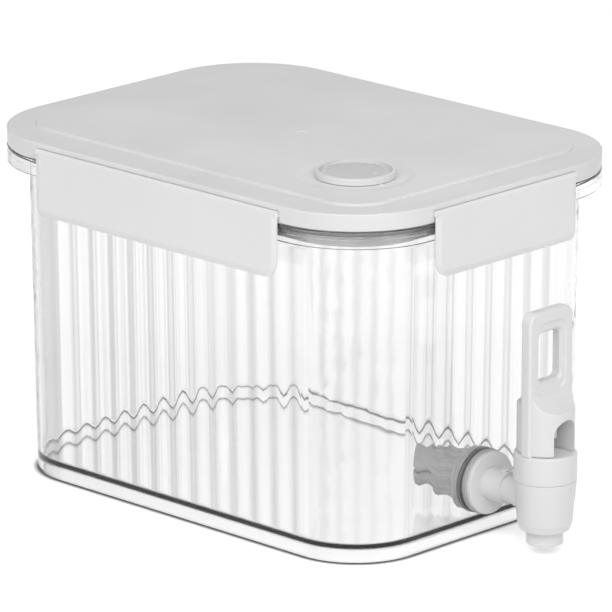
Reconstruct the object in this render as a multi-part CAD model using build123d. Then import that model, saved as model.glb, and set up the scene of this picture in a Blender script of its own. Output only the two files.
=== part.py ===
from build123d import *
import math
import os

# A fridge water jug with a lid, four flap clips and a lever tap. Millimetres, +Z up.
# The origin is the middle of the foot, on the surface that the jug stands on.
# The tap side faces -Y and the long sides run along Y.

# Tank, a clear moulded box that widens upwards
tank_width = 148.3
tank_length = 206.8
tank_height = 143.0
tank_corner_r = 31.0
side_lean = 2.5
end_lean = 1.95
wall = 2.2
foot_recess = 5.7
floor_thickness = 1.8
foot_edge_r = 1.0
under_corner_r = 1.4
floor_corner_r = 0.9

# Flutes, a shallow wave of valleys and crests down the inside of the four flat walls
flute_pitch = 11.7
flute_depth = 0.36
flute_skim = 0.02
flute_foot_gap = 1.2
flute_head_gap = 12.0
side_flutes = 13
end_flutes = 8

# Rim, a flange with a turned-down lip and a groove round its edge
rim_overhang = 9.1
rim_height = 7.1
rim_plate = 2.2
rim_lip = 2.0
rim_groove_depth = 0.6
rim_groove_height = 2.4
rim_edge_height = 0.9
rim_edge_r = 0.35

# Lid, a shallow cap with a raised panel and a skirt that goes into the tank
lid_overlap = 0.05
lid_draft = 0.25
lid_gap = 0.5
lid_height = 7.1
lid_wall = 1.8
lid_edge_r = 0.8
panel_inset = 15.9
panel_rise = 1.1
panel_corner_r = 17.5
panel_edge_r = 0.8
plug_gap = 0.6
plug_wall = 1.6
plug_depth = 9.0
plug_lead_r = 0.6
gasket_inset = 5.5
gasket_width = 4.0
gasket_side_gap = 0.3
channel_rib = 1.2
channel_rib_gap = 1.6
gate_mark_r = 2.4
gate_mark_depth = 0.3
gate_stub_r = 0.7

# Flap clips, hinged on the lid's edge
side_clip_length = 140.0
end_clip_length = 84.0
hinge_out = 0.55
hinge_drop = 3.6
roll_r = 1.3
roll_gap = 0.2
clip_end_gap = 0.3
clip_wall = 1.25
clip_edge = 0.45
clip_bevel = 2.6
clip_drop = 27.1
clip_pull_corner_r = 8.0
clip_far_corner_r = 3.6
bead_r = 0.6
bead_gap = 0.3
bead_drop = 1.2
bead_end_gap = 12.0

# Vent dial, a round knob that turns in a recess of the lid to let air in
vent_from_side = 53.1
vent_from_end = 52.6
vent_recess_r = 24.6
vent_recess_slope = 3.2
vent_recess_depth = 0.7
dial_r = 16.5
dial_proud = 2.3
dial_plate = 0.9
dial_wall = 1.4
dial_lift = 0.3
dial_edge_r = 0.6
dial_dish_depth = 1.2
dial_dish_rim = 1.3
dial_tick_count = 24
dial_tick_length = 1.8
dial_tick_width = 0.5
dial_tick_height = 0.25
dial_dot_r = 0.9
dial_dot_ring_r = 8.5
dial_dot_angle = -67.0
dial_stem_r = 4.0
dial_stem_gap = 0.08
vent_hole_r = 1.5
vent_hole_ring_r = 8.5
vent_boss_r = 12.5
vent_boss_drop = 2.2
seal_ring_r = 12.0
seal_ring_thickness = 1.0
seal_ring_gap = 0.1
retainer_r = 7.0
retainer_thickness = 1.5
retainer_gap = 0.2
stem_tail = 0.6
pointer_length = 2.0
pointer_width = 1.2
pointer_height = 0.5
pointer_gap = 0.6
pointer_angle = -100.0

# Tap, seated on flat pads moulded into the wall that faces -Y
tap_height = 22.6
seat_r = 14.0
seat_proud = 0.3
shank_r = 6.1
shank_hole_gap = 0.3
shank_bore_r = 3.6
shank_length = 34.0
outer_washer_r = 13.6
outer_washer_thickness = 2.3
inner_washer_r = 13.9
inner_washer_thickness = 2.0
washer_edge_r = 0.5
washer_gap = 0.1
nut_flange_r = 13.4
nut_flange_thickness = 3.0
nut_sleeve_r = 9.8
nut_sleeve_length = 15.0
nut_nose_r = 8.65
nut_nose_length = 10.5
nut_rib_count = 16
nut_rib_r = 0.7
nut_thread_gap = 0.1
nut_wall = 1.2
nut_port_width = 2.0
tap_flange_r = 13.3
tap_flange_thickness = 2.2
tap_reach = 29.4
boss_r = 6.8
boss_length = 8.6
neck_tip_r = 5.4
neck_root_r = 8.6
nub_r = 1.5
nub_height = 0.9
nub_setback = 1.3

# Valve body under the tap's axis, heights from the shank's axis
nozzle_r = 7.65
nozzle_drop = 18.7
nozzle_length = 6.4
nozzle_bore_r = 5.9
nozzle_edge_r = 0.5
cup_foot_r = 10.35
cup_foot_chamfer = 3.1
cup_low_r = 11.35
cup_top_r = 13.05
cup_height = 8.9
cup_edge_r = 0.4
cavity_r = 9.2
outlet_r = 4.6
cup_floor_thickness = 2.6
seat_lip_wall = 1.0
seat_lip_height = 1.2
collar_r = 11.0
collar_height = 6.2

# Bonnet, the ring cap over the valve body
bonnet_height = 11.8
bonnet_seam = 0.2
bonnet_gap = 0.15
bonnet_roof = 3.4
bonnet_edge_r = 1.1

# Silicone valve cup, which closes the outlet and springs the lever back
valve_rim_thickness = 1.5
valve_rim_inner_r = 8.2
valve_skin = 0.9
plug_r = 6.3
plug_height = 4.2
socket_floor = 1.5
socket_gap = 0.3

# Stem and its cross pin
stem_r = 2.5
stem_gap = 0.08
stem_head_width = 6.4
stem_head_depth = 6.4
stem_head_over = 3.2
stem_head_under = 5.0
pin_r = 1.5
pin_gap = 0.05

# Lever, a plate with a window over a round block
lever_width = 26.0
lever_front = 2.9
lever_back = 2.4
lever_height = 60.4
lever_corner_r = 4.6
lever_edge_r = 1.2
lever_gap = 0.15
block_r = 11.9
block_foot_edge = 0.8
front_shoulder = 18.5
shoulder_rise = 6.8
shoulder_edge_r = 0.8
back_shoulder = 21.5
block_edge = 1.0
slot_half_width = 6.2
slot_drop = 1.2
pin_rise = 10.4
pin_cover = 1.2
slot_back = 4.4
window_width = 12.6
window_height = 20.6
window_foot = 30.4
window_corner_r = 2.4
frame_side = 2.7
frame_end = 4.6
frame_corner_r = 4.4
frame_depth = 0.7
frame_slope = 40
window_bevel = 1.1

cut_over = 1.0

# Places worked out from the sizes above
mean_lean = (side_lean + end_lean) / 2
rim_corner_r = tank_corner_r + mean_lean + rim_overhang
rim_half_x = tank_width / 2 + side_lean + rim_overhang
rim_half_y = tank_length / 2 + end_lean + rim_overhang
rim_foot = tank_height - rim_height
floor_top = foot_recess + floor_thickness
lid_half_x = rim_half_x + lid_overlap
lid_half_y = rim_half_y + lid_overlap
lid_foot = tank_height + lid_gap
lid_top = lid_foot + lid_height
lid_ceiling = lid_top - lid_wall
panel_top = lid_top + panel_rise
panel_ceiling = panel_top - lid_wall
hinge_z = lid_top - hinge_drop

vent_x = -(lid_half_x - vent_from_side)
vent_y = -(lid_half_y - vent_from_end)
vent_floor = panel_top - vent_recess_depth
boss_foot = panel_ceiling - vent_boss_drop
dial_top = panel_top + dial_proud
dial_roof = dial_top - dial_dish_depth - dial_plate
seal_foot = vent_floor + seal_ring_gap
stem_foot = boss_foot - retainer_gap - retainer_thickness - stem_tail

outer_seat_y = -(tank_length / 2 + end_lean * (tap_height + seat_r) / tank_height + seat_proud)
inner_seat_y = -(tank_length / 2 + end_lean * (tap_height - seat_r) / tank_height - wall - seat_proud)
tap_flange_y = outer_seat_y - outer_washer_thickness - tap_flange_thickness
tap_y = tap_flange_y - tap_reach
nozzle_foot = tap_height - nozzle_drop
cup_foot = nozzle_foot + nozzle_length
cavity_floor = cup_foot + cup_floor_thickness
seat_z = cavity_floor + seat_lip_height
seam_z = tap_height + cup_height
collar_top = seam_z + collar_height
valve_top = collar_top + valve_rim_thickness
bonnet_top = seam_z + bonnet_height
pin_z = bonnet_top + pin_rise
block_foot = bonnet_top + lever_gap


def tank_plan(z, inset):
    """Outline of the leaning tank wall at a height, moved inwards by inset."""
    rise = z / tank_height
    width = tank_width + 2 * side_lean * rise - 2 * inset
    length = tank_length + 2 * end_lean * rise - 2 * inset
    corner = tank_corner_r + mean_lean * rise - inset
    return Plane.XY.offset(z) * RectangleRounded(width, length, corner)


def rim_plan(z, grow):
    """Outline of the rim's edge at a height, moved outwards by grow."""
    width = 2 * (rim_half_x + grow)
    length = 2 * (rim_half_y + grow)
    return Plane.XY.offset(z) * RectangleRounded(width, length, rim_corner_r + grow)


def flute_wave(count):
    """Face of the wave cutter, with a valley for each flute and a crest between two."""
    quarter = flute_pitch / 4
    half = flute_pitch / 2
    middle = -flute_skim - flute_depth / 2
    valley = -flute_skim - flute_depth
    over = flute_depth - flute_skim
    first = -(count - 1) * half
    places = [first + i * flute_pitch for i in range(count)]
    start = places[0]
    last = places[-1]
    edges = [ThreePointArc((start - half, over), (start, valley), (start + quarter, middle))]
    for place in places[:-1]:
        crest = place + half
        crest_points = (crest - quarter, middle), (crest, -flute_skim), (crest + quarter, middle)
        edges.append(ThreePointArc(*crest_points))
    for place in places[1:-1]:
        edges.append(ThreePointArc((place - quarter, middle), (place, valley), (place + quarter, middle)))
    edges.append(ThreePointArc((last - quarter, middle), (last, valley), (last + half, over)))
    right = last + half
    left = start - half
    edges.append(Polyline((right, over), (right, wall), (left, wall), (left, over)))
    return make_face(Curve(children=edges))


def flute_cutter(count, half_span, lean):
    """Wave cutter for the wall that faces -Y, at its inner face above the floor."""
    foot = floor_top + flute_foot_gap
    run = tank_height - flute_head_gap - foot
    wave = extrude(flute_wave(count), run)
    tilt = math.degrees(math.atan(lean / tank_height))
    wall_y = -(half_span + lean * foot / tank_height - wall)
    return Pos(0, wall_y, foot) * Rot(tilt, 0, 0) * wave


def flute_cutters():
    """Wave cutters of all four walls."""
    end = flute_cutter(end_flutes, tank_length / 2, end_lean)
    side = flute_cutter(side_flutes, tank_width / 2, side_lean)
    ends = [Rot(0, 0, turn) * end for turn in (0, 180)]
    sides = [Rot(0, 0, turn) * side for turn in (-90, 90)]
    return ends + sides


def rim():
    """Flange with its turned-down lip, hollow underneath, and the groove round its edge."""
    block = extrude(rim_plan(rim_foot, 0), rim_height)
    block = fillet(block.faces().sort_by(Axis.Z)[-1].edges(), rim_edge_r)
    hollow = extrude(rim_plan(rim_foot - cut_over, -rim_lip), rim_height - rim_plate + cut_over)
    groove_foot = tank_height - rim_edge_height - rim_groove_height
    groove = extrude(rim_plan(groove_foot, rim_lip), rim_groove_height)
    groove -= extrude(rim_plan(groove_foot, -rim_groove_depth), rim_groove_height)
    return block - hollow - groove


def container():
    """Clear tank with its leaning walls, raised floor, rim, flutes and tap hole."""
    shell = loft([tank_plan(0, 0), tank_plan(tank_height, 0)])
    shell = fillet(shell.faces().sort_by(Axis.Z)[0].edges(), foot_edge_r)
    shell += rim()
    cavity = loft([tank_plan(floor_top, wall), tank_plan(tank_height + cut_over, wall)])
    cavity = fillet(cavity.faces().sort_by(Axis.Z)[0].edges(), floor_corner_r)
    under = extrude(tank_plan(-cut_over, wall), foot_recess + cut_over)
    under = fillet(under.faces().sort_by(Axis.Z)[-1].edges(), under_corner_r)
    shell -= cavity
    shell -= under
    shell -= flute_cutters()
    pad = Pos(0, inner_seat_y, tap_height) * Rot(90, 0, 0) * Cylinder(
        seat_r, inner_seat_y - outer_seat_y, align=(Align.CENTER, Align.CENTER, Align.MIN)
    )
    hole = Pos(0, inner_seat_y + cut_over, tap_height) * Rot(90, 0, 0) * Cylinder(
        shank_r + shank_hole_gap,
        inner_seat_y - outer_seat_y + 2 * cut_over,
        align=(Align.CENTER, Align.CENTER, Align.MIN),
    )
    return shell + pad - hole


def hinge_line(half_span, radius, length):
    """Round bar along the hinge of the clip on the side that faces -Y."""
    place = Pos(0, -(half_span + hinge_out), hinge_z) * Rot(0, 90, 0)
    return place * Cylinder(radius, length)


def hinge_channels():
    """Channels in the lid's edge that the four clip rolls turn in."""
    bar_r = roll_r + roll_gap
    end_bar = hinge_line(lid_half_y, bar_r, end_clip_length + 2 * clip_end_gap)
    side_bar = hinge_line(lid_half_x, bar_r, side_clip_length + 2 * clip_end_gap)
    return [Rot(0, 0, t) * end_bar for t in (0, 180)] + [Rot(0, 0, t) * side_bar for t in (-90, 90)]


def lid_ring(inset, width, z, height):
    """Upright ring of the rim's plan, its outer side inset from the rim's edge."""
    return extrude(rim_plan(z, -inset), height) - extrude(rim_plan(z, -inset - width), height)


def panel_plan(z, inset):
    """Outline of the lid's raised panel."""
    width = 2 * (lid_half_x - panel_inset - inset)
    length = 2 * (lid_half_y - panel_inset - inset)
    return Plane.XY.offset(z) * RectangleRounded(width, length, panel_corner_r - inset)


def vent_disc(radius, z, height):
    """Upright disc about the dial's axis, from z upwards."""
    return Pos(vent_x, vent_y, z) * Cylinder(radius, height, align=(Align.CENTER, Align.CENTER, Align.MIN))


def vent_holes(turn, z, height):
    """The two air holes beside the dial's stem, turned about its axis."""
    holes = [
        Pos(vent_x, vent_y, 0) * Rot(0, 0, turn + half) * Pos(vent_hole_ring_r, 0, z)
        * Cylinder(vent_hole_r, height, align=(Align.CENTER, Align.CENTER, Align.MIN))
        for half in (0, 180)
    ]
    return holes


def plug_skirt():
    """Ring that stands down inside the tank's mouth."""
    inset = wall + plug_gap
    foot = tank_height - plug_depth
    outline = tank_plan(foot, inset).face()
    outer = extrude(Plane.XY.offset(foot) * Pos(0, 0, -foot) * outline, lid_ceiling - foot)
    outer = chamfer(outer.faces().sort_by(Axis.Z)[0].edges(), plug_lead_r)
    inner_plan = tank_plan(foot, inset + plug_wall).face()
    inner = extrude(Plane.XY.offset(foot) * Pos(0, 0, -foot) * inner_plan, lid_ceiling - foot)
    return outer - inner


def lid():
    """Lid moulding with its skirts, gasket channel, raised panel, hinge channels and vent seat."""
    cap = loft([rim_plan(lid_foot, lid_overlap - lid_draft), rim_plan(lid_top, lid_overlap)])
    cap = fillet(cap.faces().sort_by(Axis.Z)[-1].edges(), lid_edge_r)
    hollow = lid_overlap - lid_draft - lid_wall
    cap -= extrude(rim_plan(lid_foot, hollow), lid_height - lid_wall)
    panel = extrude(panel_plan(lid_ceiling, 0), panel_top - lid_ceiling)
    panel = fillet(panel.faces().sort_by(Axis.Z)[-1].edges(), panel_edge_r)
    cap += panel
    cap -= extrude(panel_plan(lid_ceiling, lid_wall), panel_ceiling - lid_ceiling)
    cap += plug_skirt()
    rib_foot = tank_height + channel_rib_gap
    rib_height = lid_ceiling - rib_foot
    cap += lid_ring(gasket_inset - gasket_side_gap - channel_rib, channel_rib, rib_foot, rib_height)
    cap -= hinge_channels()
    recess = Cone(vent_recess_r - vent_recess_slope, vent_recess_r, vent_recess_depth)
    cap -= Pos(vent_x, vent_y, vent_floor + vent_recess_depth / 2) * recess
    cap += vent_disc(vent_boss_r, boss_foot, vent_floor - boss_foot)
    cap -= vent_disc(dial_stem_r + dial_stem_gap, boss_foot - cut_over, vent_floor - boss_foot + 2 * cut_over)
    cap -= vent_holes(0, boss_foot - cut_over, vent_floor - boss_foot + 2 * cut_over)
    pointer = Pos(vent_x, vent_y, vent_floor) * Rot(0, 0, pointer_angle) * Pos(
        dial_r + pointer_gap + pointer_length / 2, 0, 0
    ) * Box(pointer_length, pointer_width, pointer_height, align=(Align.CENTER, Align.CENTER, Align.MIN))
    cap += pointer
    dimple = Pos(0, 0, panel_top - gate_mark_depth) * Cylinder(
        gate_mark_r, gate_mark_depth + cut_over, align=(Align.CENTER, Align.CENTER, Align.MIN)
    )
    gate_stub = Pos(0, 0, panel_top - gate_mark_depth) * Cylinder(
        gate_stub_r, gate_mark_depth, align=(Align.CENTER, Align.CENTER, Align.MIN)
    )
    return cap - dimple + gate_stub


def lid_gasket():
    """Soft ring in the lid's channel, resting on the rim."""
    return lid_ring(gasket_inset, gasket_width, tank_height, lid_ceiling - tank_height)


def clip_outline(offset, length, left_r, right_r, inset):
    """Upright outline of a clip plate, its top on the hinge and its lower corners rounded."""
    plane = Plane.XZ.offset(offset)
    drop = clip_drop - inset
    plate = Pos(0, -drop / 2) * Rectangle(length - 2 * inset, drop)
    left = plate.vertices().sort_by(Axis.Y)[:2].sort_by(Axis.X)[0]
    plate = fillet(left, left_r - inset)
    right = plate.vertices().sort_by(Axis.Y)[:2].sort_by(Axis.X)[-1]
    plate = fillet(right, right_r - inset)
    return plane * plate


def clip(half_span, length, left_r, right_r):
    """Flap clip on the side that faces -Y: hinge roll, bevelled plate and catch bead."""
    inner = roll_r - clip_wall
    back = clip_outline(inner, length, left_r, right_r, 0)
    mid = clip_outline(inner + clip_edge, length, left_r, right_r, 0)
    front = clip_outline(roll_r, length, left_r, right_r, clip_bevel)
    plate = extrude(back, clip_edge) + loft([mid, front])
    plate += Rot(0, 90, 0) * Cylinder(roll_r, length)
    bead_y = -(bead_gap + bead_r - lid_overlap - hinge_out)
    bead_z = rim_foot - bead_drop - hinge_z
    plate += Pos(0, bead_y, bead_z) * Rot(0, 90, 0) * Cylinder(bead_r, length - 2 * bead_end_gap)
    return Pos(0, -(half_span + hinge_out), hinge_z) * plate


def end_clip():
    """Clip of a short side, with its larger pull corner on the left as seen from outside."""
    return clip(lid_half_y, end_clip_length, clip_pull_corner_r, clip_far_corner_r)


def side_clip():
    """Clip of a long side, with its larger pull corner on the right as seen from outside."""
    return clip(lid_half_x, side_clip_length, clip_far_corner_r, clip_pull_corner_r)


def vent_dial():
    """Round knob with a dished top, tick marks, a hollow underside and a stem through the lid."""
    foot = vent_floor + dial_lift
    knob = vent_disc(dial_r, foot, dial_top - foot)
    knob = fillet(knob.edges().group_by(Axis.Z)[-1], dial_edge_r)
    knob -= vent_disc(dial_r - dial_dish_rim, dial_top - dial_dish_depth, dial_dish_depth + cut_over)
    knob -= vent_disc(dial_r - dial_wall, foot - cut_over, dial_roof - foot + cut_over)
    tick = Box(
        dial_tick_length, dial_tick_width, dial_tick_height, align=(Align.MAX, Align.CENTER, Align.MIN)
    )
    tick_z = dial_top - dial_dish_depth
    tick = Pos(dial_r - 2 * dial_dish_rim, 0, 0) * tick
    turns = [i * 360 / dial_tick_count for i in range(dial_tick_count)]
    ring = [Pos(vent_x, vent_y, tick_z) * Rot(0, 0, turn) * tick for turn in turns]
    knob += ring
    dot = Cylinder(dial_dot_r, dial_tick_height, align=(Align.CENTER, Align.CENTER, Align.MIN))
    knob += Pos(vent_x, vent_y, tick_z) * Rot(0, 0, dial_dot_angle) * Pos(dial_dot_ring_r, 0, 0) * dot
    knob += vent_disc(dial_stem_r, stem_foot, dial_roof - stem_foot)
    return knob


def vent_seal():
    """Soft ring under the dial that covers the air holes until the dial is turned."""
    ring = vent_disc(seal_ring_r, seal_foot, dial_roof - seal_foot)
    ring -= vent_disc(dial_stem_r, seal_foot - cut_over, dial_roof - seal_foot + 2 * cut_over)
    ring -= vent_holes(90, seal_foot - cut_over, dial_roof - seal_foot + 2 * cut_over)
    return ring


def dial_retainer():
    """Push-on ring on the stem's end that holds the dial in the lid."""
    foot = boss_foot - retainer_gap - retainer_thickness
    ring = vent_disc(retainer_r, foot, retainer_thickness)
    return ring - vent_disc(dial_stem_r, foot - cut_over, retainer_thickness + 2 * cut_over)


def along_shank(radius, y, length):
    """Round bar on the shank's axis, from y towards -Y."""
    bar = Cylinder(radius, length, align=(Align.CENTER, Align.CENTER, Align.MIN))
    return Pos(0, y, tap_height) * Rot(90, 0, 0) * bar


def washer(radius, y, thickness):
    """Soft washer with rounded outer edges and a close hole for the shank."""
    ring = along_shank(radius, y, thickness)
    ring = fillet(ring.edges(), washer_edge_r)
    return ring - along_shank(shank_r + washer_gap, y + cut_over, thickness + 2 * cut_over)


def outer_washer():
    """Washer between the tap's flange and the wall."""
    return washer(outer_washer_r, outer_seat_y, outer_washer_thickness)


def inner_washer():
    """Washer between the wall and the lock nut."""
    return washer(inner_washer_r, inner_seat_y + inner_washer_thickness, inner_washer_thickness)


def lock_nut():
    """Nut with a flange, a gripped sleeve and a nose with inlet slots over the shank's end."""
    foot_y = inner_seat_y + inner_washer_thickness
    sleeve_y = foot_y + nut_flange_thickness + nut_sleeve_length
    nose_y = sleeve_y + nut_nose_length
    nut = along_shank(nut_flange_r, foot_y + nut_flange_thickness, nut_flange_thickness)
    nut = fillet(nut.edges(), washer_edge_r)
    nut += along_shank(nut_sleeve_r, sleeve_y, nut_sleeve_length)
    nut += along_shank(nut_nose_r, nose_y, nut_nose_length)
    rib = along_shank(nut_rib_r, sleeve_y, nut_sleeve_length)
    axis = Pos(0, 0, tap_height)
    ribs = [
        axis * Rot(0, i * 360 / nut_rib_count, 0) * axis.inverse() * Pos(nut_sleeve_r, 0, 0) * rib
        for i in range(nut_rib_count)
    ]
    nut += ribs
    bore_end = nose_y - nut_wall
    nut -= along_shank(shank_r + nut_thread_gap, bore_end, bore_end - foot_y + cut_over)
    slot = Pos(0, nose_y, tap_height) * Box(
        nut_port_width, 2 * nut_nose_length - 2 * nut_wall, 2 * nut_nose_r + 2 * cut_over
    )
    cross = Pos(0, nose_y, tap_height) * Box(
        2 * nut_nose_r + 2 * cut_over, 2 * nut_nose_length - 2 * nut_wall, nut_port_width
    )
    return nut - slot - cross


def tap_disc(radius, z, height):
    """Upright disc about the tap's axis, from z upwards."""
    return Pos(0, tap_y, z) * Cylinder(radius, height, align=(Align.CENTER, Align.CENTER, Align.MIN))


def tap_turning(*points):
    """Solid of revolution about the tap's axis, from points of radius and height."""
    outline = Plane.XZ * make_face(Polyline(*points, close=True))
    return Pos(0, tap_y, 0) * revolve(outline, Axis.Z)


def tap_body():
    """Valve body: cup and nozzle turned about the tap's axis, with its neck, flange and shank."""
    cup = tap_turning(
        (0, nozzle_foot), (nozzle_r, nozzle_foot), (nozzle_r, cup_foot), (cup_foot_r, cup_foot),
        (cup_low_r, cup_foot + cup_foot_chamfer), (cup_top_r, seam_z), (collar_r, seam_z),
        (collar_r, collar_top), (0, collar_top),
    )
    cup = fillet(cup.edges().group_by(Axis.Z)[0], nozzle_edge_r)
    shoulder = cup.edges().filter_by(GeomType.CIRCLE)
    shoulder = shoulder.filter_by(lambda e: abs(e.radius - cup_top_r) < cup_edge_r)
    cup = fillet(shoulder, cup_edge_r)
    neck_foot_y = tap_flange_y - boss_length
    neck = Pos(0, (neck_foot_y + tap_y) / 2, tap_height) * Rot(90, 0, 0) * Cone(
        neck_tip_r, neck_root_r, neck_foot_y - tap_y
    )
    body = cup + neck
    body += along_shank(boss_r, tap_flange_y, boss_length + nub_setback)
    flange = along_shank(tap_flange_r, tap_flange_y + tap_flange_thickness, tap_flange_thickness)
    body += fillet(flange.edges(), washer_edge_r)
    body += along_shank(shank_r, outer_seat_y - outer_washer_thickness + shank_length, shank_length)
    nub_y = tap_flange_y - boss_length + nub_setback
    body += Pos(0, nub_y, tap_height) * Cylinder(
        nub_r, boss_r + nub_height, align=(Align.CENTER, Align.CENTER, Align.MIN)
    )
    body -= tap_disc(cavity_r, cavity_floor, collar_top - cavity_floor + cut_over)
    body += tap_disc(outlet_r + seat_lip_wall, cavity_floor - cut_over, seat_lip_height + cut_over)
    body -= tap_disc(outlet_r, nozzle_foot - cut_over, seat_z - nozzle_foot + 2 * cut_over)
    body -= tap_disc(nozzle_bore_r, nozzle_foot - cut_over, nozzle_length + cut_over)
    bore_y = outer_seat_y - outer_washer_thickness + shank_length + cut_over
    return body - along_shank(shank_bore_r, bore_y, bore_y - tap_y)


def tap_bonnet():
    """Ring cap over the valve body's collar, with a guide hole for the stem."""
    foot = seam_z + bonnet_seam
    cap = tap_disc(cup_top_r, foot, bonnet_top - foot)
    cap = fillet(cap.edges().group_by(Axis.Z)[-1], bonnet_edge_r)
    cap -= tap_disc(collar_r + bonnet_gap, foot - cut_over, valve_top - foot + cut_over)
    return cap - tap_disc(stem_r + stem_gap, foot, bonnet_top - foot + cut_over)


def valve_seal():
    """Silicone cup: clamped rim, thin cone wall and the plug that sits on the outlet's lip."""
    plug_top = seat_z + plug_height
    skin_foot_r = plug_r - valve_skin
    cup = tap_turning(
        (0, seat_z), (plug_r, seat_z), (plug_r, plug_top), (valve_rim_inner_r + valve_skin, collar_top),
        (collar_r, collar_top), (collar_r, valve_top), (valve_rim_inner_r, valve_top),
        (valve_rim_inner_r, collar_top), (skin_foot_r, plug_top), (0, plug_top),
    )
    socket = seat_z + socket_floor
    return cup - tap_disc(stem_r + socket_gap, socket, plug_top - socket + cut_over)


def tap_stem():
    """Stem from the valve cup up through the bonnet, with a flat head for the cross pin."""
    foot = seat_z + socket_floor + socket_gap
    rod = tap_disc(stem_r, foot, pin_z - stem_head_under - foot)
    head_foot = pin_z - stem_head_under
    head = Pos(0, tap_y, head_foot) * Box(
        stem_head_width, stem_head_depth, stem_head_under + stem_head_over,
        align=(Align.CENTER, Align.CENTER, Align.MIN),
    )
    head = fillet(head.edges().filter_by(Axis.X).group_by(Axis.Z)[-1], stem_head_over - pin_r)
    eye = Pos(0, tap_y, pin_z) * Rot(0, 90, 0) * Cylinder(pin_r + pin_gap, stem_head_width + 2 * cut_over)
    return rod + head - eye


def lever_plate():
    """Upright plate with rounded top corners, a stepped frame and a bevelled window."""
    depth = lever_front + lever_back
    height = bonnet_top + lever_height - block_foot
    face = Pos(0, height / 2) * Rectangle(lever_width, height)
    face = fillet(face.vertices().group_by(Axis.Y)[-1], lever_corner_r)
    plane = Plane((0, tap_y + lever_back, block_foot), x_dir=(1, 0, 0), z_dir=(0, -1, 0))
    plate = extrude(plane * face, depth)
    rounded = plate.faces().filter_by(Axis.Y).edges()
    rounded = rounded.filter_by(lambda e: e.center().Z > block_foot + block_foot_edge)
    plate = fillet(rounded, lever_edge_r)
    window_mid = bonnet_top + window_foot + window_height / 2
    front = Plane((0, tap_y - lever_front, window_mid), x_dir=(1, 0, 0), z_dir=(0, -1, 0))
    frame = front * RectangleRounded(
        window_width + 2 * frame_side, window_height + 2 * frame_end, frame_corner_r
    )
    plate -= extrude(frame, -frame_depth, taper=frame_slope)
    window = front.offset(cut_over) * RectangleRounded(window_width, window_height, window_corner_r)
    plate -= extrude(window, -(depth + 2 * cut_over))
    mouth_y = tap_y - lever_front + frame_depth
    mouth = plate.edges().filter_by(lambda e: abs(e.center().Y - mouth_y) < window_bevel / 4)
    mouth = mouth.filter_by(lambda e: abs(e.center().X) < window_width / 2 + window_bevel / 4)
    mouth = mouth.filter_by(lambda e: abs(e.center().Z - window_mid) < window_height / 2 + window_bevel / 4)
    return chamfer(mouth, window_bevel)


def block_half(shoulder, side):
    """One half of the round block, turned about the tap's axis and kept on one side of it."""
    turned = tap_turning(
        (0, block_foot), (block_r - block_foot_edge, block_foot), (block_r, block_foot + block_foot_edge),
        (block_r, shoulder - block_edge), (block_r - block_edge, shoulder), (0, shoulder),
    )
    span = 2 * (block_r + cut_over)
    keep = Box(span, span, bonnet_top + lever_height, align=(Align.CENTER, side, Align.MIN))
    return turned & Pos(0, tap_y, 0) * keep


def shoulder_sweep():
    """Side view of the block's front, swept in a hollow curve up to the plate, as a solid."""
    front_z = bonnet_top + front_shoulder
    peak_z = front_z + shoulder_rise
    outer = block_r + cut_over
    sweep = TangentArc((block_r, front_z), (lever_front, peak_z), tangent=(-1, 0))
    rest = Polyline(
        (lever_front, peak_z), (-cut_over, peak_z), (-cut_over, block_foot - cut_over),
        (outer, block_foot - cut_over), (outer, front_z), (block_r, front_z),
    )
    plane = Plane((outer, tap_y, 0), x_dir=(0, -1, 0), z_dir=(-1, 0, 0))
    return extrude(plane * make_face(sweep + rest), 2 * outer)


def lever_block():
    """Round block under the plate: a hollow shoulder in front and a flat one behind."""
    front_z = bonnet_top + front_shoulder
    front = block_half(front_z + shoulder_rise + block_edge, Align.MAX) & shoulder_sweep()
    rim = front.edges().filter_by(lambda e: e.center().Z > front_z - block_edge)
    rim = rim.filter_by(lambda e: e.center().Y < tap_y - block_r / 2)
    front = fillet(rim.sort_by(Axis.Y)[:1], shoulder_edge_r)
    return front + block_half(bonnet_top + back_shoulder, Align.MIN)


def lever_slot():
    """Arched slot, open at the front and the foot, that the stem's head swings in."""
    arch_z = pin_z - slot_drop
    run = arch_z - block_foot
    arch = Rectangle(2 * slot_half_width, run + cut_over, align=(Align.CENTER, Align.MAX))
    arch += Circle(slot_half_width)
    plane = Plane((0, tap_y + slot_back, arch_z), x_dir=(1, 0, 0), z_dir=(0, -1, 0))
    return extrude(plane * arch, slot_back + block_r + cut_over)


def pin_bar(radius, start, end):
    """Bar on the cross pin's axis, between two places along X."""
    bar = Cylinder(radius, end - start, align=(Align.CENTER, Align.CENTER, Align.MIN))
    return Pos(start, tap_y, pin_z) * Rot(0, 90, 0) * bar


def tap_lever():
    """Lever: windowed plate and slotted block in one moulding, bored from one side for the pin."""
    body = lever_plate() + lever_block() - lever_slot()
    return body - pin_bar(pin_r, pin_cover - block_r, lever_width / 2 + cut_over)


def lever_pin():
    """Steel cross pin, pressed into the lever's cheeks and running in the stem's head."""
    reach = math.sqrt(block_r**2 - pin_r**2) - block_edge
    return pin_bar(pin_r, pin_cover - block_r, reach)


nodes = {
    "container": container(),
    "lid": lid(),
    "lid_gasket": lid_gasket(),
    "clip_front": end_clip(),
    "clip_back": Rot(0, 0, 180) * end_clip(),
    "clip_left": Rot(0, 0, -90) * side_clip(),
    "clip_right": Rot(0, 0, 90) * side_clip(),
    "vent_dial": vent_dial(),
    "vent_seal": vent_seal(),
    "dial_retainer": dial_retainer(),
    "outer_washer": outer_washer(),
    "inner_washer": inner_washer(),
    "lock_nut": lock_nut(),
    "tap_body": tap_body(),
    "tap_bonnet": tap_bonnet(),
    "valve_seal": valve_seal(),
    "tap_stem": tap_stem(),
    "tap_lever": tap_lever(),
    "lever_pin": lever_pin(),
}

os.makedirs("parts", exist_ok=True)
for name, shape in nodes.items():
    export_step(shape, os.path.join("parts", name + ".step"))
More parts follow.
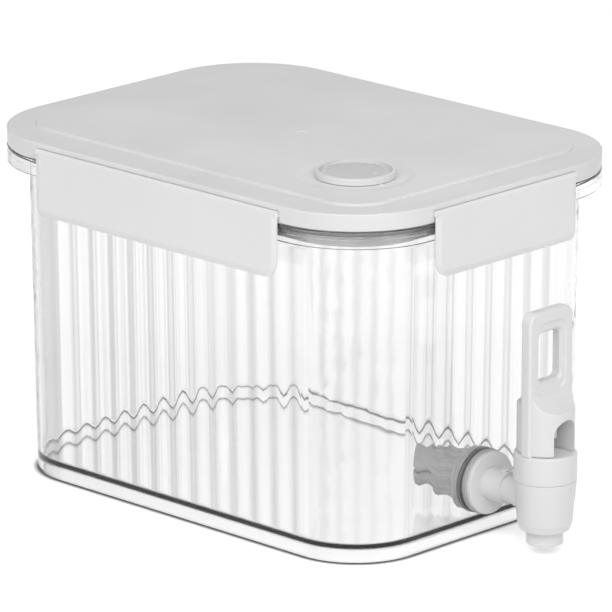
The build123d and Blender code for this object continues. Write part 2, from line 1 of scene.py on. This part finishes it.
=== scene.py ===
import bpy
import math
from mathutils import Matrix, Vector

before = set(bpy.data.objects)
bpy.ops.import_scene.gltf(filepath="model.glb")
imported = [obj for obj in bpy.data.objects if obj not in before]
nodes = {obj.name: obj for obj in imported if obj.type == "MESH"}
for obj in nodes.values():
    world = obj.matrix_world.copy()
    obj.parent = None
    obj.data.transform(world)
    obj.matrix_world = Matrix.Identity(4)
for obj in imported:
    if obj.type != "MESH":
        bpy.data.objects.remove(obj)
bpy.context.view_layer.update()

# Nothing is left selected by the loading.
for item in bpy.context.selected_objects:
    item.select_set(False)

# Camera: it stands low and far off on the near corner's side, as in the photo, so
# that the jug's upright edges stay almost parallel.
aim = Vector((0.00104, -0.00107, 0.07617))
camera_place = Vector((-1.7883, -1.7382, 0.8123))
sensor_width_mm = 36.0
lens_mm = 363.4
camera_reach = 20.0
camera_data = bpy.data.cameras.new("photo_camera")
camera_data.sensor_width = sensor_width_mm
camera_data.lens = lens_mm
camera_data.clip_end = camera_reach
camera = bpy.data.objects.new("photo_camera", camera_data)
camera.location = camera_place
camera.rotation_euler = (aim - camera_place).to_track_quat("-Z", "Y").to_euler()
bpy.context.scene.collection.objects.link(camera)
bpy.context.scene.camera = camera
bpy.context.scene.view_settings.view_transform = "Standard"

# World: a white studio that lights the jug plainly. Clear plastic and gloss show its
# walls instead, a ring of greys that draws the dark stripes of the flutes: white on
# the left of the photo's heading, a narrow dark panel just to the right of it.
lit_strength = 0.42
white_strength = 1.0
photo_heading = math.radians(44.2)
ring_span = math.radians(180.0)
ring_ends = 0.92
ring_stops = (
    (0.10, 1.0),
    (0.483, 1.0),
    (0.50, 0.92),
    (0.514, 0.76),
    (0.533, 0.55),
    (0.567, 0.30),
    (0.633, 0.30),
    (0.689, 0.75),
    (0.733, 0.95),
)
nadir_grey = 0.35
zenith_grey = 0.25
height_stops = ((0.18, 1.0), (0.67, 1.0), (0.76, 0.35))


def grey(level):
    """A neutral colour."""
    return (level, level, level, 1.0)


def grey_ramp(tree, first, last, stops):
    """A colour ramp of greys: its two ends, then the stops between them."""
    ramp = tree.nodes.new("ShaderNodeValToRGB")
    elements = ramp.color_ramp.elements
    elements[0].color = grey(first)
    elements[1].color = grey(last)
    for place, level in stops:
        stop = elements.new(place)
        stop.color = grey(level)
    return ramp


def join(tree, value, socket):
    """Gives a socket its value: another node's output, or a constant."""
    if isinstance(value, bpy.types.NodeSocket):
        tree.links.new(value, socket)
    else:
        socket.default_value = value


def math_node(tree, operation, *values):
    """A Math node over one or two values."""
    step = tree.nodes.new("ShaderNodeMath")
    step.operation = operation
    for value, socket in zip(values, step.inputs):
        join(tree, value, socket)
    return step.outputs[0]


def mix_shaders(tree, share, first, second):
    """Mixes two shaders by the second one's share."""
    mix = tree.nodes.new("ShaderNodeMixShader")
    join(tree, share, mix.inputs["Fac"])
    tree.links.new(first, mix.inputs[1])
    tree.links.new(second, mix.inputs[2])
    return mix.outputs[0]


def background(tree, color, strength):
    """One way for the world to look."""
    look = tree.nodes.new("ShaderNodeBackground")
    join(tree, color, look.inputs["Color"])
    join(tree, strength, look.inputs["Strength"])
    return look.outputs[0]


world = bpy.data.worlds.new("studio")
bpy.context.scene.world = world
world.use_nodes = True
tree = world.node_tree
tree.nodes.clear()
way = tree.nodes.new("ShaderNodeTexCoord")
parts = tree.nodes.new("ShaderNodeSeparateXYZ")
tree.links.new(way.outputs["Generated"], parts.inputs[0])
heading = math_node(tree, "ARCTAN2", parts.outputs["Y"], parts.outputs["X"])
turned = math_node(tree, "SUBTRACT", heading, photo_heading - ring_span / 2)
within = math_node(tree, "FRACT", math_node(tree, "DIVIDE", turned, ring_span))
ring = grey_ramp(tree, ring_ends, ring_ends, ring_stops)
tree.links.new(within, ring.inputs["Fac"])
rise = tree.nodes.new("ShaderNodeMapRange")
rise.inputs["From Min"].default_value = -1.0
rise.inputs["From Max"].default_value = 1.0
tree.links.new(parts.outputs["Z"], rise.inputs["Value"])
high_low = grey_ramp(tree, nadir_grey, zenith_grey, height_stops)
tree.links.new(rise.outputs["Result"], high_low.inputs["Fac"])
rays = tree.nodes.new("ShaderNodeLightPath")
through = math_node(tree, "MAXIMUM", rays.outputs["Is Transmission Ray"], rays.outputs["Is Glossy Ray"])
lit = background(tree, grey(1.0), lit_strength)
white = background(tree, grey(1.0), white_strength)
panels = background(tree, ring.outputs["Color"], high_low.outputs["Color"])
seen = mix_shaders(tree, rays.outputs["Is Camera Ray"], lit, white)
out = tree.nodes.new("ShaderNodeOutputWorld")
tree.links.new(mix_shaders(tree, through, seen, panels), out.inputs["Surface"])

# Lamps: two broad soft ones, high up. One faces the tap side, the other the long
# side on the left of the photo.
lamp_size = 1.2
lamp_target = Vector((0.0, 0.0, 0.07))
for name, place, power in (
    ("key_front", (-0.55, -1.30, 1.15), 11.6),
    ("key_side", (-1.30, -0.20, 1.30), 8.6),
):
    light_data = bpy.data.lights.new(name, "AREA")
    light_data.shape = "SQUARE"
    light_data.size = lamp_size
    light_data.energy = power
    light = bpy.data.objects.new(name, light_data)
    light.location = place
    toward = lamp_target - Vector(place)
    light.rotation_euler = toward.to_track_quat("-Z", "Y").to_euler()
    bpy.context.scene.collection.objects.link(light)

# Floor: a wide matt white sheet just under the foot. The camera and gloss see it
# white apart from the jug's shadow, clear plastic sees partly past it to the
# studio, and a painted contact shadow darkens it in the thin gap along the foot.
floor_size = 8.0
floor_drop = 0.0002
floor_white = 0.92
floor_rough = 0.9
floor_glow = 0.5
foot_gap = 0.0035
gap_open, gap_shut = 0.95, 0.5
gap_shade = 0.1
seen_past = 0.65


def mix_colors(tree, share, first, second, blend="MIX"):
    """Mixes two colours by the second one's share."""
    mix = tree.nodes.new("ShaderNodeMix")
    mix.data_type = "RGBA"
    mix.blend_type = blend
    join(tree, share, mix.inputs["Factor"])
    join(tree, first, mix.inputs["A"])
    join(tree, second, mix.inputs["B"])
    return mix.outputs["Result"]


bpy.ops.mesh.primitive_plane_add(size=floor_size, location=(0.0, 0.0, -floor_drop))
floor = bpy.context.active_object
floor.name = "floor"
floor_paint = bpy.data.materials.new("floor_paint")
floor_paint.use_nodes = True
tree = floor_paint.node_tree
skin = tree.nodes["Principled BSDF"]
skin.inputs["Roughness"].default_value = floor_rough
skin.inputs["Specular IOR Level"].default_value = 0.0
# Painted contact shadow: an ambient-occlusion mask darkens the floor's colour and glow, and makes it
# opaque to the see-through, in the thin gap along the foot.
near_foot = tree.nodes.new("ShaderNodeAmbientOcclusion")
near_foot.inputs["Distance"].default_value = foot_gap
contact = tree.nodes.new("ShaderNodeMapRange")
contact.inputs["From Min"].default_value = gap_shut
contact.inputs["From Max"].default_value = gap_open
contact.inputs["To Min"].default_value = gap_shade
contact.inputs["To Max"].default_value = 1.0
tree.links.new(near_foot.outputs["AO"], contact.inputs["Value"])
painted_contact_shade = contact.outputs["Result"]
rays = tree.nodes.new("ShaderNodeLightPath")
seen_white = math_node(tree, "MAXIMUM", rays.outputs["Is Camera Ray"], rays.outputs["Is Glossy Ray"])
glow = mix_colors(tree, seen_white, grey(0.0), grey(floor_glow))
tree.links.new(mix_colors(tree, painted_contact_shade, grey(0.0), grey(floor_white)), skin.inputs["Base Color"])
tree.links.new(mix_colors(tree, 1.0, glow, painted_contact_shade, "MULTIPLY"), skin.inputs["Emission Color"])
skin.inputs["Emission Strength"].default_value = 1.0
clear = tree.nodes.new("ShaderNodeBsdfTransparent")
see_past = math_node(tree, "MULTIPLY", rays.outputs["Is Transmission Ray"], seen_past)
see_past = math_node(tree, "MULTIPLY", see_past, painted_contact_shade)
floor_look = mix_shaders(tree, see_past, skin.outputs[0], clear.outputs[0])
tree.links.new(floor_look, tree.nodes["Material Output"].inputs["Surface"])
floor.data.materials.append(floor_paint)
floor.select_set(False)

# Tank: one clear injection moulding, polished inside and out, with shallow flutes
# down the inside of its flat walls and a thicker floor held up off the shelf. It
# lets the lamps' light pass, so that the nut and the lid's skirt are lit inside it.
clear_light, clear_dark = 0.985, 0.97
clear_smooth, clear_rough = 0.0, 0.03
clear_index = 1.5
lamp_light_passed = 0.76

# The skin that every moulding here shares: cloudy patches of tone and gloss, and a
# fine grain from the tool's surface.
moulded = bpy.data.node_groups.new("moulded_skin", "ShaderNodeTree")
for name, direction, kind in (
    ("Light Tone", "INPUT", "NodeSocketColor"),
    ("Dark Tone", "INPUT", "NodeSocketColor"),
    ("Patch Scale", "INPUT", "NodeSocketFloat"),
    ("Grain Scale", "INPUT", "NodeSocketFloat"),
    ("Smooth", "INPUT", "NodeSocketFloat"),
    ("Rough", "INPUT", "NodeSocketFloat"),
    ("Color", "OUTPUT", "NodeSocketColor"),
    ("Roughness", "OUTPUT", "NodeSocketFloat"),
    ("Height", "OUTPUT", "NodeSocketFloat"),
):
    moulded.interface.new_socket(name, in_out=direction, socket_type=kind)
given = moulded.nodes.new("NodeGroupInput")
result = moulded.nodes.new("NodeGroupOutput")
where = moulded.nodes.new("ShaderNodeTexCoord")
patches = moulded.nodes.new("ShaderNodeTexNoise")
patches.inputs["Detail"].default_value = 3.0
grain = moulded.nodes.new("ShaderNodeTexNoise")
grain.inputs["Detail"].default_value = 2.0
gloss = moulded.nodes.new("ShaderNodeMapRange")
moulded.links.new(where.outputs["Object"], patches.inputs["Vector"])
moulded.links.new(where.outputs["Object"], grain.inputs["Vector"])
moulded.links.new(given.outputs["Patch Scale"], patches.inputs["Scale"])
moulded.links.new(given.outputs["Grain Scale"], grain.inputs["Scale"])
moulded.links.new(patches.outputs["Fac"], gloss.inputs["Value"])
moulded.links.new(given.outputs["Smooth"], gloss.inputs["To Min"])
moulded.links.new(given.outputs["Rough"], gloss.inputs["To Max"])
tone = mix_colors(moulded, patches.outputs["Fac"], given.outputs["Dark Tone"], given.outputs["Light Tone"])
moulded.links.new(tone, result.inputs["Color"])
moulded.links.new(gloss.outputs["Result"], result.inputs["Roughness"])
moulded.links.new(grain.outputs["Fac"], result.inputs["Height"])


def moulded_plastic(name, tones, roughness, patch_scale, grain_scale, grain_depth):
    """A material whose colour, roughness and bump come from the moulded skin."""
    material = bpy.data.materials.new(name)
    material.use_nodes = True
    tree = material.node_tree
    shader = tree.nodes["Principled BSDF"]
    skin_node = tree.nodes.new("ShaderNodeGroup")
    skin_node.node_tree = moulded
    skin_node.inputs["Light Tone"].default_value = grey(tones[0])
    skin_node.inputs["Dark Tone"].default_value = grey(tones[1])
    skin_node.inputs["Patch Scale"].default_value = patch_scale
    skin_node.inputs["Grain Scale"].default_value = grain_scale
    skin_node.inputs["Smooth"].default_value = roughness[0]
    skin_node.inputs["Rough"].default_value = roughness[1]
    bump = tree.nodes.new("ShaderNodeBump")
    bump.inputs["Strength"].default_value = 1.0
    bump.inputs["Distance"].default_value = grain_depth
    tree.links.new(skin_node.outputs["Color"], shader.inputs["Base Color"])
    tree.links.new(skin_node.outputs["Roughness"], shader.inputs["Roughness"])
    tree.links.new(skin_node.outputs["Height"], bump.inputs["Height"])
    tree.links.new(bump.outputs["Normal"], shader.inputs["Normal"])
    return material


def dress(node, material):
    """Gives a carried-over piece its material in every slot."""
    mesh = nodes[node].data
    if not mesh.materials:
        mesh.materials.append(material)
    for index in range(len(mesh.materials)):
        mesh.materials[index] = material


clear_plastic = moulded_plastic(
    "clear_plastic",
    tones=(clear_light, clear_dark),
    roughness=(clear_smooth, clear_rough),
    patch_scale=14.0,
    grain_scale=90.0,
    grain_depth=0.000002,
)
tree = clear_plastic.node_tree
shader = tree.nodes["Principled BSDF"]
shader.inputs["Transmission Weight"].default_value = 1.0
shader.inputs["IOR"].default_value = clear_index
rays = tree.nodes.new("ShaderNodeLightPath")
lamp_light = tree.nodes.new("ShaderNodeBsdfTransparent")
lamp_light.inputs["Color"].default_value = grey(lamp_light_passed)
clear_look = mix_shaders(tree, rays.outputs["Is Shadow Ray"], shader.outputs[0], lamp_light.outputs[0])
tree.links.new(clear_look, tree.nodes["Material Output"].inputs["Surface"])
dress("container", clear_plastic)

# Lid: a thin moulding in milky white plastic with a satin top. Its grain is fine
# and its tone cloudy, as translucent plastic looks where it is thicker.
lid_plastic = moulded_plastic(
    "lid_plastic",
    tones=(0.93, 0.70),
    roughness=(0.36, 0.44),
    patch_scale=14.0,
    grain_scale=900.0,
    grain_depth=0.000006,
)
dress("lid", lid_plastic)

# Flap clips: smooth milky plastic, hinged on its edge. Their tone is painted lighter than
# the lid's, painted light for the light that shines through the thin plates. A little light really comes
# through them too.
clip_light_through = 0.12
clip_index = 1.45
clip_plastic = moulded_plastic(
    "clip_plastic",
    tones=(0.99, 0.93),
    roughness=(0.36, 0.40),
    patch_scale=22.0,
    grain_scale=700.0,
    grain_depth=0.000003,
)
shader = clip_plastic.node_tree.nodes["Principled BSDF"]
shader.inputs["Transmission Weight"].default_value = clip_light_through
shader.inputs["IOR"].default_value = clip_index
for node in ("clip_front", "clip_back", "clip_left", "clip_right"):
    dress(node, clip_plastic)

# Vent dial and its push-on ring: milky plastic with raised ticks. The rim and the ticks
# are painted lighter than the dish: painted shade in the sunken dish, painted light on the thin
# translucent rim.
dial_axis = (-0.0327, -0.0619, 0.0)
dish_radius = 0.0151
dish_top = 0.1529
rim_tone = 0.80
dial_plastic = moulded_plastic(
    "dial_plastic",
    tones=(0.65, 0.585),
    roughness=(0.25, 0.35),
    patch_scale=60.0,
    grain_scale=1200.0,
    grain_depth=0.000004,
)
tree = dial_plastic.node_tree
shader = tree.nodes["Principled BSDF"]
where = tree.nodes.new("ShaderNodeTexCoord")
from_axis = tree.nodes.new("ShaderNodeVectorMath")
from_axis.operation = "SUBTRACT"
from_axis.inputs[1].default_value = dial_axis
off_axis = tree.nodes.new("ShaderNodeVectorMath")
off_axis.operation = "MULTIPLY"
off_axis.inputs[1].default_value = (1.0, 1.0, 0.0)
radius = tree.nodes.new("ShaderNodeVectorMath")
radius.operation = "LENGTH"
height = tree.nodes.new("ShaderNodeSeparateXYZ")
tree.links.new(where.outputs["Object"], from_axis.inputs[0])
tree.links.new(from_axis.outputs[0], off_axis.inputs[0])
tree.links.new(off_axis.outputs[0], radius.inputs[0])
tree.links.new(where.outputs["Object"], height.inputs[0])
# Painted light and shade: the rim and the raised ticks get the lighter rim tone, and the dish keeps the
# darker tones as painted shade.
on_rim = math_node(tree, "GREATER_THAN", radius.outputs["Value"], dish_radius)
on_tick = math_node(tree, "GREATER_THAN", height.outputs["Z"], dish_top)
lit_rim_or_tick = math_node(tree, "MAXIMUM", on_rim, on_tick)
dish_shade_color = shader.inputs["Base Color"].links[0].from_socket
rim_light_dish_shade = mix_colors(tree, lit_rim_or_tick, dish_shade_color, grey(rim_tone))
tree.links.new(rim_light_dish_shade, shader.inputs["Base Color"])
for node in ("vent_dial", "dial_retainer"):
    dress(node, dial_plastic)

# Soft rings: milky silicone under the lid, under the dial and in the valve. Half of
# the light goes through them, as it does in a thin ring of silicone.
silicone_light_through = 0.5


def half_clear(material):
    """Mixes a material's shader with light that comes through from behind."""
    tree = material.node_tree
    shader = tree.nodes["Principled BSDF"]
    lets_through = tree.nodes.new("ShaderNodeBsdfTranslucent")
    color = shader.inputs["Base Color"].links[0].from_socket
    tree.links.new(color, lets_through.inputs["Color"])
    look = mix_shaders(tree, silicone_light_through, shader.outputs[0], lets_through.outputs[0])
    tree.links.new(look, tree.nodes["Material Output"].inputs["Surface"])


clear_silicone = moulded_plastic(
    "clear_silicone",
    tones=(0.93, 0.88),
    roughness=(0.3, 0.4),
    patch_scale=40.0,
    grain_scale=600.0,
    grain_depth=0.000008,
)
half_clear(clear_silicone)
for node in ("lid_gasket", "vent_seal", "valve_seal"):
    dress(node, clear_silicone)

# Tap: opaque white plastic, semi-gloss, in a valve body, a ring cap, a stem and a
# lever that are moulded one by one and pressed or screwed together.
tap_plastic = moulded_plastic(
    "tap_plastic",
    tones=(0.825, 0.795),
    roughness=(0.26, 0.36),
    patch_scale=45.0,
    grain_scale=1100.0,
    grain_depth=0.000004,
)
for node in ("tap_body", "tap_bonnet", "tap_stem", "tap_lever"):
    dress(node, tap_plastic)

# Washers: soft pale silicone like that of the other rings, but duller, one on each
# side of the wall.
grey_silicone = moulded_plastic(
    "grey_silicone",
    tones=(0.92, 0.88),
    roughness=(0.5, 0.65),
    patch_scale=60.0,
    grain_scale=700.0,
    grain_depth=0.00001,
)
half_clear(grey_silicone)
for node in ("outer_washer", "inner_washer"):
    dress(node, grey_silicone)

# Lock nut: a grey moulding on the shank, inside the tank.
nut_plastic = moulded_plastic(
    "nut_plastic",
    tones=(0.58, 0.535),
    roughness=(0.4, 0.5),
    patch_scale=60.0,
    grain_scale=900.0,
    grain_depth=0.000006,
)
dress("lock_nut", nut_plastic)

# Cross pin of the lever: plain drawn steel, with a fine even grain.
pin_steel = moulded_plastic(
    "pin_steel",
    tones=(0.62, 0.54),
    roughness=(0.22, 0.34),
    patch_scale=300.0,
    grain_scale=4000.0,
    grain_depth=0.000002,
)
pin_steel.node_tree.nodes["Principled BSDF"].inputs["Metallic"].default_value = 1.0
dress("lever_pin", pin_steel)
